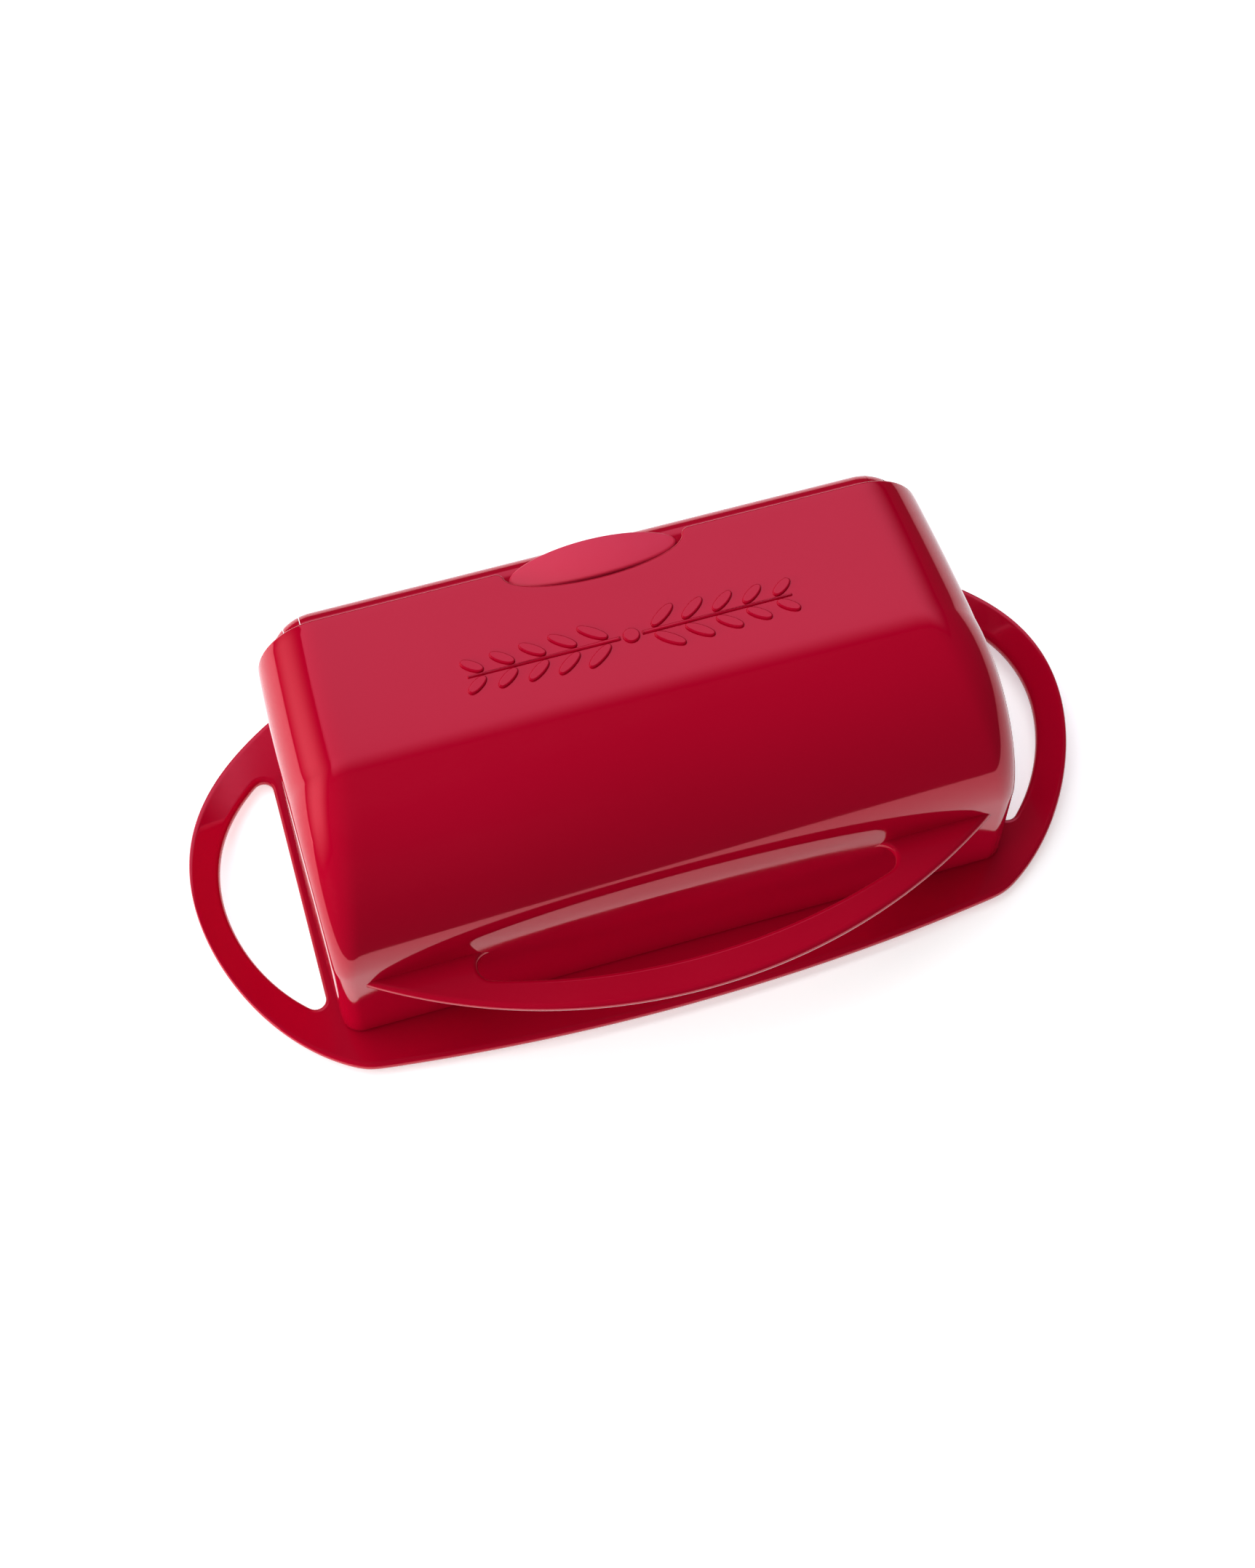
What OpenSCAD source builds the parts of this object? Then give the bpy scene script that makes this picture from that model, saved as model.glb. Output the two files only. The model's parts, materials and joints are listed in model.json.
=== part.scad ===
// Flip-top table butter dish: a tray with two finger loops, a fixed back wall that
// carries the hinge, and a one-piece lid with a crescent lifting handle.
// The object stands on z = 0; x = 0 is its plane of symmetry; the front faces -Y.

/* [Tray] */
// Length over the tips of the two finger loops
tray_length = 231; // [200:1:280]
// Depth of the tray at its middle, where the front and rear edges bow out most
tray_depth = 115.8; // [105:0.2:145]
// How far the front and rear edges bow out over the length
edge_bow = 6.2; // [3:0.2:12]
// Width over which the bow is measured, corner to corner
corner_span = 171; // [140:1:200]
// Thickness of the tray
tray_thickness = 2.8; // [2:0.1:4]
// Height of the low step that the butter sits on
platform_height = 2.4; // [1:0.1:5]
// Margin between the inside of the cover and the step
platform_margin = 5; // [3:0.5:12]
// Gap between the table and the underside of the tray
standing_height = 2.5; // [1.5:0.1:6]

/* [Finger loops] */
// Plan radius of the outer edge of a loop
loop_radius = 58.5; // [50:0.5:70]
// Plan radius of the finger hole's curved side
hole_radius = 43.3; // [36:0.1:50]
// Width of the band at the tip of a loop
loop_band = 7; // [5:0.5:12]
// Strip of tray left between the lid and a finger hole
hole_strip = 2.3; // [1.5:0.1:5]
// Height by which the tip of a loop curves up
loop_rise = 10; // [4:0.5:16]
// Distance in from the tip where a loop starts to rise
loop_run = 28; // [20:1:36]

/* [Lid] */
// Length of the lid along its lower edge
lid_length = 174.8; // [150:0.2:210]
// Distance from the middle of the tray to the front face of the lid
lid_front = 42.4; // [34:0.2:52]
// Wall thickness of the lid
lid_wall = 2.2; // [1.6:0.1:3]
// Height of the lid above the tray, measured over its rear rim
lid_height = 65.5; // [55:0.5:85]
// Angle at which the top rises from the rear rim towards the front
top_rise_angle = 5.4; // [0:0.2:9]
// Radius of the curve from the top into the front face
crown_radius = 35.3; // [20:0.1:42]
// Radius between the top and each end
end_radius = 15.6; // [12:0.1:22]
// Outward draft of the two ends
end_draft = 2.24; // [0.5:0.02:4]
// Radius of the two upright front corners
corner_radius = 5; // [3:0.5:10]
// Gap between the closed lid and the tray
seat_gap = 0.3; // [0.2:0.1:0.8]

/* [Crescent handle] */
// Width of the crescent from tip to tip
crescent_width = 158; // [110:1:166]
// How far the crescent stands out from the front face
crescent_reach = 23.7; // [16:0.1:32]
// Width of the crescent's band at its middle
crescent_band = 8.4; // [6:0.2:12]
// Width of the finger gap behind the band
gap_width = 105; // [70:1:115]
// Radius of the finger gap's two ends
gap_end_radius = 3.8; // [2:0.2:5]
// Thickness of the crescent
crescent_thickness = 3; // [2:0.1:5]
// Height of the crescent's top face above the tray
crescent_height = 29.7; // [15:0.1:45]

/* [Hinge] */
// Radius of the rounded upper edge of the back wall, centred on the hinge line
barrel_radius = 6.6; // [5.5:0.1:9]
// Distance from the middle of the tray back to the hinge line
hinge_back = 36.8; // [28:0.2:46]
// Gap between the lid's rim and the rounded edge it swings round
hinge_gap = 0.5; // [0.4:0.05:0.8]
// Wall thickness of the back wall
back_wall_thickness = 2.4; // [1.6:0.1:3.5]
// Distance of each hinge lug's middle in from the end of the back wall
lug_inset = 6.8; // [5:0.1:20]
// Width of a hinge lug
lug_width = 4.2; // [3:0.1:6]
// Radius of a lug's round eye
lug_radius = 4.4; // [3.5:0.1:5]
// Side gap between a lug and its slot
lug_side_gap = 0.4; // [0.3:0.05:0.8]
// Radius of a hinge pin
pin_radius = 1.5; // [1:0.1:2]
// Running clearance of a pin in its lug
pin_clearance = 0.05; // [0.02:0.01:0.1]
// Length of pin held in the back wall on the inner side of a lug
pin_grip = 7; // [4:0.5:9]
// Length of pin held in the back wall on the outer side of a lug
pin_nose = 2.6; // [1.5:0.1:3]

/* [Thumb pad] */
// Length of the oval pad
pad_length = 42.4; // [30:0.2:56]
// Width of the oval pad
pad_width = 11.3; // [8:0.1:11.6]
// Distance from the hinge line forward to the middle of the pad
pad_forward = 1.6; // [0:0.1:2.5]
// Height of the pad's middle above the hinge line
pad_rise = 8.6; // [7.5:0.1:9]
// Thickness of the pad at its middle
pad_thickness = 3.8; // [3:0.1:5]
// Radius of the shallow dome on the pad
pad_dome = 130; // [100:5:300]
// Gap between the pad and the notch in the lid
pad_gap = 1.1; // [0.6:0.1:1.6]
// Fit of the pad in its seat
pad_fit = 0.1; // [0.05:0.05:0.2]
// Depth to which the pad sits in its seat
pad_seat = 0.8; // [0.4:0.1:1.2]

/* [Feet] */
// Radius of a foot
foot_radius = 5; // [4:0.5:8]
// Distance of each foot from the middle, along the length
foot_x = 70; // [50:1:75]
// Distance of each foot from the middle, front to back
foot_y = 36; // [25:1:40]
// Depth of the pocket that holds a foot
foot_pocket = 0.8; // [0.5:0.1:1.2]

/* [Hidden] */
$fn = 96;

// Overshoot of a cutting shape past the face it cuts
cut = 1;
// A size larger than the whole object, for half-spaces
far = 400;

// Tray
tray_half = tray_length / 2;
tray_bottom = standing_height;
tray_top = tray_bottom + tray_thickness;
bow_radius = (pow(corner_span / 2, 2) + pow(edge_bow, 2)) / (2 * edge_bow);
bow_centre = bow_radius - tray_depth / 2;
rise_radius = (pow(loop_run, 2) + pow(loop_rise, 2)) / (2 * loop_rise);
rise_start = tray_half - loop_run;

// Lid
lid_half = lid_length / 2;
lid_bottom = tray_top + seat_gap;
rim_z = tray_top + lid_height;
// Half width that the drafted ends would have at the level of the rim
top_half = lid_half - (rim_z - lid_bottom) * tan(end_draft);
crown_y = crown_radius - lid_front;
crown_z = rim_z + (hinge_back - crown_y) * tan(top_rise_angle) - crown_radius / cos(top_rise_angle);

// Hinge
hinge_z = rim_z - lid_wall - hinge_gap - barrel_radius;
barrel_end_radius = end_radius - lid_wall - hinge_gap;
barrel_flat = top_half - (end_radius / cos(end_draft) - end_radius * tan(end_draft));
// Half width of the back wall on the hinge line
back_half = barrel_flat + sqrt(pow(barrel_end_radius, 2) - pow(barrel_end_radius - barrel_radius, 2));
lug_offset = back_half - lug_inset;
slot_width = lug_width + 2 * lug_side_gap;
slot_depth = lug_radius + lug_side_gap;
pin_inner = lug_offset - slot_width / 2 - pin_grip;
pin_outer = lug_offset + slot_width / 2 + pin_nose;
// Below the hinge the back wall spreads out to the ends of the lid, and reaches forward inside them
wall_spread = lid_half - lid_wall - hinge_gap - back_half;
spread_top = hinge_z - barrel_radius - 2;
return_reach = 6;
return_thickness = 2;
tab_length = 16;
tab_depth = 1.6;
tab_fit = 0.1;
tab_offset = 45;

// Thumb pad
pad_top = hinge_z + pad_rise;
pad_bottom = pad_top - pad_thickness;
boss_drop = 5;
boss_inset = 0.3;

// Crescent
crescent_top = tray_top + crescent_height;
crescent_arc = (pow(crescent_width / 2, 2) + pow(crescent_reach, 2)) / (2 * crescent_reach);
gap_depth = crescent_reach - crescent_band;
gap_end_x = gap_width / 2 - gap_end_radius;
gap_arc = (pow(gap_end_x, 2) / (gap_depth - 2 * gap_end_radius) + gap_depth) / 2;

// The origin is under the middle of the whole object's box
front_reach = max(lid_front + crescent_reach, tray_depth / 2);
origin_y = (front_reach - tray_depth / 2) / 2;

// --- outlines -------------------------------------------------------------------

// Plan of the tray: two bowed long edges, and an arc round each finger loop
module tray_outline() {
    intersection() {
        translate([0, bow_centre]) circle(bow_radius, $fn = 360);
        translate([0, -bow_centre]) circle(bow_radius, $fn = 360);
        union() {
            square([2 * (tray_half - loop_radius), far], center = true);
            for (side = [-1, 1])
                translate([side * (tray_half - loop_radius), 0]) circle(loop_radius);
        }
    }
}

// Plan of both finger holes
module finger_holes() {
    hole_start = lid_half + hole_strip;
    for (side = [-1, 1]) {
        intersection() {
            translate([side * (tray_half - loop_band - hole_radius), 0]) circle(hole_radius);
            translate([side * (hole_start + far / 2), 0]) square([far, far], center = true);
        }
    }
}

// Front view of the tray: flat in the middle, its two ends curving up
module tray_section() {
    for (side = [-1, 1]) {
        intersection() {
            translate([side * rise_start, rise_radius]) difference() {
                circle(rise_radius, $fn = 180);
                circle(rise_radius - tray_thickness, $fn = 180);
            }
            translate([side * (rise_start + far / 2), 0]) square([far, 2 * rise_radius], center = true);
        }
    }
    translate([-rise_start, 0]) square([2 * rise_start, tray_thickness]);
}

// Points along an arc, from one angle to another
function arc_points(centre, radius, from, to, steps) = [
    for (i = [0:steps])
        let (angle = from + (to - from) * i / steps)
        centre + radius * [cos(angle), sin(angle)]
];

// Side view of the lid, in Y and Z, drawn inwards by inset; the foot is left at the given height
module side_outline(inset, foot, rear) {
    radius = crown_radius - inset;
    tangent_y = crown_y + radius * sin(top_rise_angle);
    tangent_z = crown_z + radius * cos(top_rise_angle);
    rear_z = tangent_z - (rear - tangent_y) * tan(top_rise_angle);
    polygon(concat(
        [[-lid_front + inset, foot], [rear, foot], [rear, rear_z]],
        arc_points([crown_y, crown_z], radius, 90 - top_rise_angle, 180, 44)
    ));
}

// End view of the lid: drafted sides with a large radius into the top, whose level is y = 0
module end_outline(inset) {
    radius = end_radius - inset;
    centre_y = -end_radius;
    shoulder_x = barrel_flat + radius * cos(end_draft);
    shoulder_y = centre_y + radius * sin(end_draft);
    foot_y = -2 * rim_z;
    foot_x = shoulder_x + (shoulder_y - foot_y) * tan(end_draft);
    polygon(concat(
        [[-foot_x, foot_y], [foot_x, foot_y]],
        arc_points([barrel_flat, centre_y], radius, end_draft, 90, 24),
        arc_points([-barrel_flat, centre_y], radius, 90, 180 - end_draft, 24)
    ));
}

// Plan of the lid's front corners
module corner_outline(inset, rear) {
    radius = corner_radius - inset;
    front = lid_front - inset;
    half = lid_half - inset;
    for (side = [-1, 1])
        translate([side * (half - radius), radius - front]) circle(radius);
    translate([radius - half, -front]) square([2 * (half - radius), radius]);
    translate([-half, radius - front]) square([2 * half, rear + front - radius]);
}

// Everything between the drafted ends of the lid, drawn inwards by inset
module drafted_ends(inset) {
    translate([0, hinge_back, rim_z]) rotate([90 - top_rise_angle, 0, 0])
        linear_extrude(far, center = true) end_outline(inset);
}

// Solid form of the lid, drawn inwards by inset
module lid_form(inset, foot, rear) {
    intersection() {
        rotate([90, 0, 90])
            linear_extrude(far, center = true) side_outline(inset, foot, rear);
        drafted_ends(inset);
        linear_extrude(far) corner_outline(inset, rear);
    }
}

// Plan of the back wall behind the hinge line, which is y = 0: drawn inwards by inset, and
// with its two ends moved outwards by spread
module back_outline(inset, spread = 0) {
    radius = barrel_end_radius - inset;
    intersection() {
        union() {
            translate([-barrel_flat - spread, 0])
                square([2 * (barrel_flat + spread), barrel_radius - inset]);
            for (side = [-1, 1])
                translate([side * (barrel_flat + spread), barrel_radius - barrel_end_radius])
                    circle(radius);
        }
        translate([-far / 2, 0]) square([far, far]);
    }
}

// Oval of the thumb pad, drawn outwards by margin
module pad_outline(margin) {
    steps = 72;
    polygon([
        for (i = [0:steps - 1])
            let (angle = 360 * i / steps)
            [(pad_length / 2 + margin) * cos(angle), (pad_width / 2 + margin) * sin(angle)]
    ]);
}

// Crescent between the front face of the lid, which is y = 0, and an arc in front of it
module crescent_outline() {
    intersection() {
        translate([0, crescent_arc - crescent_reach]) circle(crescent_arc, $fn = 240);
        translate([-far / 2, -far]) square([far, far + lid_wall / 2]);
    }
}

// Finger gap between the front face and the crescent's band: one long arc, and a
// small round end on each side that the arc runs into
module gap_outline() {
    long_centre = [0, gap_arc - gap_depth];
    meet_angle = atan2(long_centre[1] + gap_end_radius, gap_end_x);
    right_end = [gap_end_x, -gap_end_radius];
    left_end = [-gap_end_x, -gap_end_radius];
    polygon(concat(
        arc_points(left_end, gap_end_radius, 90, 180 + meet_angle, 10),
        arc_points(long_centre, gap_arc, 180 + meet_angle + 1, 359 - meet_angle, 24),
        arc_points(right_end, gap_end_radius, 360 - meet_angle, 450, 10)
    ));
}

// --- pieces ---------------------------------------------------------------------

// Places a piece so that the origin is under the middle of the object
module placed() {
    translate([0, origin_y, 0]) children();
}

module foot_positions() {
    for (x = [-foot_x, foot_x], y = [-foot_y, foot_y])
        translate([x, y, 0]) children();
}

module back_wall_tabs(fit) {
    for (x = [-tab_offset, 0, tab_offset])
        translate([x - tab_length / 2 - fit,
                   hinge_back + barrel_radius - back_wall_thickness - fit,
                   tray_top - tab_depth - fit])
            cube([tab_length + 2 * fit, back_wall_thickness + 2 * fit, tab_depth + fit + cut]);
}

module base_tray() {
    platform_x = 2 * (top_half - lid_wall - platform_margin);
    platform_front = -lid_front + lid_wall + platform_margin;
    platform_rear = hinge_back + barrel_radius - back_wall_thickness - platform_margin;
    color("crimson") placed() difference() {
        union() {
            intersection() {
                linear_extrude(far) tray_outline();
                translate([0, 0, tray_bottom]) rotate([90, 0, 0])
                    linear_extrude(far, center = true) tray_section();
            }
            translate([-platform_x / 2, platform_front, tray_top - cut])
                cube([platform_x, platform_rear - platform_front, platform_height + cut]);
        }
        translate([0, 0, -cut]) linear_extrude(far) finger_holes();
        foot_positions() translate([0, 0, tray_bottom - cut]) cylinder(h = foot_pocket + cut, r = foot_radius);
        back_wall_tabs(tab_fit);
    }
}

module hinge_barrel() {
    translate([0, hinge_back, hinge_z]) rotate([0, 90, 0]) rotate_extrude()
        rotate(-90) mirror([1, 0]) back_outline(0);
}

module lug_slots() {
    reach = barrel_radius + cut;
    for (side = [-1, 1])
        translate([side * lug_offset - slot_width / 2, hinge_back - reach, hinge_z - slot_depth])
            cube([slot_width, 2 * reach, slot_depth + reach]);
}

module pin(side, radius, inner, outer) {
    translate([side < 0 ? -outer : inner, hinge_back, hinge_z])
        rotate([0, 90, 0]) cylinder(h = outer - inner, r = radius, $fn = 48);
}

// Plan of the back wall's shell: a wall behind the hinge line and a return on each side
module back_shell_outline(spread) {
    half = back_half + spread;
    difference() {
        back_outline(0, spread);
        back_outline(back_wall_thickness, spread);
        translate([return_thickness - half, -cut]) square([2 * (half - return_thickness), 2 * cut]);
    }
    for (side = [-1, 1])
        translate([side * (half - return_thickness / 2), -return_reach / 2])
            square([return_thickness, return_reach + cut], center = true);
}

module back_wall() {
    color("firebrick") placed() difference() {
        union() {
            hinge_barrel();
            translate([0, hinge_back, tray_top])
                linear_extrude(hinge_z - tray_top) difference() {
                    back_outline(0);
                    back_outline(back_wall_thickness);
                }
            intersection() {
                translate([0, hinge_back, tray_top])
                    linear_extrude(spread_top - tray_top) back_shell_outline(wall_spread);
                drafted_ends(lid_wall + hinge_gap);
            }
            back_wall_tabs(0);
            translate([0, hinge_back - pad_forward, hinge_z - boss_drop])
                linear_extrude(pad_bottom + pad_seat - hinge_z + boss_drop)
                pad_outline(-boss_inset);
        }
        lug_slots();
        for (side = [-1, 1]) pin(side, pin_radius, pin_inner, back_half + cut);
        translate([0, hinge_back - pad_forward, pad_bottom]) linear_extrude(far) pad_outline(pad_fit);
    }
}

module thumb_pad() {
    color("indianred") placed() intersection() {
        translate([0, hinge_back - pad_forward, pad_bottom]) linear_extrude(pad_thickness + cut) pad_outline(0);
        translate([0, hinge_back - pad_forward, pad_top - pad_dome])
            rotate([90, 0, 0]) sphere(pad_dome, $fn = 180);
    }
}

// A round eye on the hinge line, with a web up to the underside of the top
module lug(side) {
    web = 10;
    rise = barrel_radius + hinge_gap + lid_wall;
    intersection() {
        translate([side * lug_offset - lug_width / 2, hinge_back, hinge_z]) rotate([90, 0, 90])
            linear_extrude(lug_width) {
                circle(lug_radius);
                polygon([[lug_radius, 0], [0, rise], [-web, rise + cut], [-lug_radius, 0]]);
            }
        lid_form(lid_wall / 2, hinge_z - 2 * lug_radius, hinge_back + 2 * lug_radius);
    }
}

module lid() {
    color("crimson") placed() difference() {
        union() {
            difference() {
                lid_form(0, lid_bottom, hinge_back);
                lid_form(lid_wall, lid_bottom - cut, hinge_back + cut);
                translate([0, hinge_back - pad_forward, hinge_z]) linear_extrude(far) pad_outline(pad_gap);
            }
            translate([0, -lid_front, crescent_top - crescent_thickness])
                linear_extrude(crescent_thickness) difference() {
                    crescent_outline();
                    gap_outline();
                }
            for (side = [-1, 1]) lug(side);
        }
        for (side = [-1, 1]) pin(side, pin_radius + pin_clearance, pin_inner, pin_outer);
    }
}

module hinge_pin(side) {
    color("silver") placed() pin(side, pin_radius, pin_inner, pin_outer);
}

module foot(side_x, side_y) {
    color("dimgray") placed() translate([side_x * foot_x, side_y * foot_y, 0])
        cylinder(h = standing_height + foot_pocket, r = foot_radius);
}

base_tray();
back_wall();
lid();
thumb_pad();
hinge_pin(-1);  // hinge_pin_left
hinge_pin(1);  // hinge_pin_right
foot(-1, -1);  // foot_front_left
foot(1, -1);  // foot_front_right
foot(-1, 1);  // foot_rear_left
foot(1, 1);  // foot_rear_right
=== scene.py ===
import json
import math

import bmesh
import bpy
import numpy as np
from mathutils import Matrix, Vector
from mathutils.geometry import delaunay_2d_cdt


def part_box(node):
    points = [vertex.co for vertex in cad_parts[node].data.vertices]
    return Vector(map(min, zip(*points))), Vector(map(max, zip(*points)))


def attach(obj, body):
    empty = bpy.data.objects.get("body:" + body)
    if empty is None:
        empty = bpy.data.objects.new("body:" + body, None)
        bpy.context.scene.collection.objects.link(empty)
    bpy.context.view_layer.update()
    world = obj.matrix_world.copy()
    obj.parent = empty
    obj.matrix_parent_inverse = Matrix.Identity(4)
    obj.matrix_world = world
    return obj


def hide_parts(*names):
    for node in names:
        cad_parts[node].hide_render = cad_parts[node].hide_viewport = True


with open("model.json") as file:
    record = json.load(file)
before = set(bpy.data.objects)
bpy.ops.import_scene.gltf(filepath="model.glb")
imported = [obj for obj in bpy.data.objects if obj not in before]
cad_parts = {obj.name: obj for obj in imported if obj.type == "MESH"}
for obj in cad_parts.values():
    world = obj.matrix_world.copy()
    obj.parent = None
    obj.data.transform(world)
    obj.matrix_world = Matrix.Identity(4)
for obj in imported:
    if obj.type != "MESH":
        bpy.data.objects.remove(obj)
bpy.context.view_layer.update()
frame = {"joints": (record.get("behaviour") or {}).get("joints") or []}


# Shapes are drawn in millimetres in the frame's axes, and scaled when the mesh is made.
MM = 0.001


def box_mm(node):
    low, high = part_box(node)
    return np.array(low) / MM, np.array(high) / MM


# --- sizes tied to the frame ------------------------------------------------------

hinge = np.array(frame["joints"][0]["pos_m"]) / MM
tray_low, tray_high = box_mm("base_tray")
lid_low = box_mm("lid")[0]
wall_high = box_mm("back_wall")[1]
pad_low, pad_high = box_mm("thumb_pad")

middle_y = (tray_low[1] + tray_high[1]) / 2
tray_bottom = tray_low[2]
tray_thick = 2.8
tray_top = tray_bottom + tray_thick
tray_half = tray_high[0]
wall = 2.2
gap = 0.5
barrel = wall_high[1] - hinge[1]
rim_y = hinge[1]
rim_z = hinge[2] + barrel + gap + wall
foot_z = lid_low[2]
front_y = middle_y - 42.4
slope = math.radians(5.4)               # fall of the flat top towards the rear rim
crown_r = 35.3                          # the curve from the flat top into the front face
crown_y = front_y + crown_r
crown_z = rim_z + (rim_y - crown_y) * math.tan(slope) - crown_r / math.cos(slope)
shoulder_r = 15.6                       # between the flat top and the ends
corner_r = 4.9                          # between the front face and the ends
draft = math.tan(math.radians(2.24))
end_r = shoulder_r - wall - gap         # rounded ends of the barrel, a gap inside the lid's shoulders
pad_y = (pad_low[1] + pad_high[1]) / 2
pad_half = pad_high[0]
pad_wide = (pad_high[1] - pad_low[1]) / 2
lug_x = 74.3
lug_wide = 4.2
lug_r = 4.4
slot_low, slot_high = lug_x - lug_wide / 2 - 0.15, lug_x + lug_wide / 2 + 0.15
slot_floor = 6.7                        # below the hinge line


# --- materials --------------------------------------------------------------------

def graph(name):
    material = bpy.data.materials.new(name)
    material.use_nodes = True
    tree = material.node_tree
    shader = next(n for n in tree.nodes if n.type == "BSDF_PRINCIPLED")
    place = tree.nodes.new("ShaderNodeTexCoord").outputs["Object"]
    return material, tree, shader, place


def noise(tree, place, scale, detail=4.0, stretch=None):
    if stretch:
        mapping = tree.nodes.new("ShaderNodeMapping")
        mapping.inputs["Scale"].default_value = stretch
        tree.links.new(place, mapping.inputs["Vector"])
        place = mapping.outputs["Vector"]
    node = tree.nodes.new("ShaderNodeTexNoise")
    node.inputs["Scale"].default_value = scale
    node.inputs["Detail"].default_value = detail
    tree.links.new(place, node.inputs["Vector"])
    return node.outputs["Fac"]


def spread(tree, value, low, high, start=0.3, end=0.7):
    node = tree.nodes.new("ShaderNodeMapRange")
    node.inputs["From Min"].default_value = start
    node.inputs["From Max"].default_value = end
    node.inputs["To Min"].default_value = low
    node.inputs["To Max"].default_value = high
    tree.links.new(value, node.inputs["Value"])
    return node.outputs["Result"]


def shade(tree, value, colours, start=0.3, end=0.7):
    node = tree.nodes.new("ShaderNodeValToRGB")
    ramp = node.color_ramp
    ramp.elements[0].position, ramp.elements[1].position = start, end
    for element, colour in zip(ramp.elements, colours):
        element.color = (*colour, 1)
    tree.links.new(value, node.inputs["Fac"])
    return node.outputs["Color"]


def relief(tree, shader, value, strength, distance):
    node = tree.nodes.new("ShaderNodeBump")
    node.inputs["Strength"].default_value = strength
    node.inputs["Distance"].default_value = distance
    tree.links.new(value, node.inputs["Height"])
    tree.links.new(node.outputs["Normal"], shader.inputs["Normal"])


def gloss_plastic():
    material, tree, shader, place = graph("crimson_gloss")
    cloud = noise(tree, place, 9.0)
    tree.links.new(shade(tree, cloud, ((0.41, 0.0005, 0.017), (0.44, 0.0008, 0.021))),
                   shader.inputs["Base Color"])
    tree.links.new(spread(tree, noise(tree, place, 60.0), 0.045, 0.085), shader.inputs["Roughness"])
    shader.inputs["IOR"].default_value = 1.42
    shader.inputs["Metallic"].default_value = 0.2
    relief(tree, shader, noise(tree, place, 130.0, 2.0), 0.05, 0.00006)
    return material


def satin_plastic():
    material, tree, shader, place = graph("crimson_satin")
    cloud = noise(tree, place, 14.0)
    tree.links.new(shade(tree, cloud, ((0.52, 0.012, 0.045), (0.56, 0.016, 0.052))),
                   shader.inputs["Base Color"])
    tree.links.new(spread(tree, noise(tree, place, 240.0), 0.34, 0.44), shader.inputs["Roughness"])
    shader.inputs["IOR"].default_value = 1.5
    relief(tree, shader, noise(tree, place, 1400.0, 2.0), 0.12, 0.00003)
    return material


def drawn_steel():
    material, tree, shader, place = graph("drawn_steel")
    streak = noise(tree, place, 300.0, stretch=(0.05, 1.0, 1.0))
    tree.links.new(shade(tree, streak, ((0.55, 0.55, 0.56), (0.68, 0.68, 0.69))),
                   shader.inputs["Base Color"])
    tree.links.new(spread(tree, streak, 0.2, 0.34), shader.inputs["Roughness"])
    shader.inputs["Metallic"].default_value = 1.0
    return material


def soft_rubber():
    material, tree, shader, place = graph("foot_rubber")
    grain = noise(tree, place, 700.0)
    tree.links.new(shade(tree, grain, ((0.045, 0.045, 0.05), (0.075, 0.075, 0.08))),
                   shader.inputs["Base Color"])
    tree.links.new(spread(tree, grain, 0.6, 0.8), shader.inputs["Roughness"])
    relief(tree, shader, grain, 0.3, 0.00008)
    return material


crimson = gloss_plastic()
satin = satin_plastic()
steel = drawn_steel()
rubber = soft_rubber()


# --- mesh helpers -----------------------------------------------------------------

class Shape:
    """Points and faces of one piece, put together from grids and strips."""

    def __init__(self):
        self.points = []
        self.faces = []
        self.count = 0

    def add(self, points):
        points = np.asarray(points, float).reshape(-1, 3)
        first = self.count
        self.points.append(points)
        self.count += len(points)
        return first + np.arange(len(points))

    def quads(self, ids, closed=False):
        """Faces between the neighbours of a table of point numbers."""
        ids = np.asarray(ids)
        if closed:
            ids = np.concatenate([ids, ids[:, :1]], axis=1)
        a, b, c, d = ids[:-1, :-1], ids[:-1, 1:], ids[1:, 1:], ids[1:, :-1]
        self.faces += np.stack([a, b, c, d], axis=-1).reshape(-1, 4).tolist()

    def join(self, points, faces):
        ids = self.add(points)
        self.faces += [[int(ids[i]) for i in face] for face in faces]

    def make(self, name, material, sharp=34):
        points = np.concatenate(self.points) * MM
        faces = [list(dict.fromkeys(f)) for f in self.faces]
        mesh = bpy.data.meshes.new(name)
        mesh.from_pydata(points.tolist(), [], [f for f in faces if len(f) > 2])
        work = bmesh.new()
        work.from_mesh(mesh)
        bmesh.ops.remove_doubles(work, verts=work.verts, dist=0.000002)
        bmesh.ops.recalc_face_normals(work, faces=work.faces)
        work.to_mesh(mesh)
        work.free()
        mesh.shade_smooth()
        mesh.set_sharp_from_angle(angle=math.radians(sharp))
        mesh.materials.append(material)
        thing = bpy.data.objects.new(name, mesh)
        bpy.context.scene.collection.objects.link(thing)
        return thing


def arc(centre, radius, start, end, steps):
    turn = np.radians(np.linspace(start, end, steps + 1))
    return np.c_[centre[0] + radius * np.cos(turn), centre[1] + radius * np.sin(turn)]


def even(points, step):
    """A closed outline with its points evenly spaced."""
    loop = np.vstack([points, points[:1]])
    run = np.r_[0, np.cumsum(np.hypot(*np.diff(loop, axis=0).T))]
    at = np.linspace(0, run[-1], int(run[-1] / step), endpoint=False)
    return np.c_[np.interp(at, run, loop[:, 0]), np.interp(at, run, loop[:, 1])]


def soften(points, width):
    """Rounds the corners of an evenly spaced closed outline."""
    step = np.hypot(*(points[1] - points[0]))
    reach = int(3 * width / step) + 1
    weight = np.exp(-0.5 * (np.arange(-reach, reach + 1) * step / width) ** 2)
    weight /= weight.sum()
    return sum(w * np.roll(points, k - reach, axis=0) for k, w in enumerate(weight))


def outward(points):
    """Unit normals of a closed anticlockwise outline."""
    along = np.roll(points, -1, axis=0) - np.roll(points, 1, axis=0)
    along /= np.hypot(*along.T)[:, None]
    return np.c_[along[:, 1], -along[:, 0]]


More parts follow.
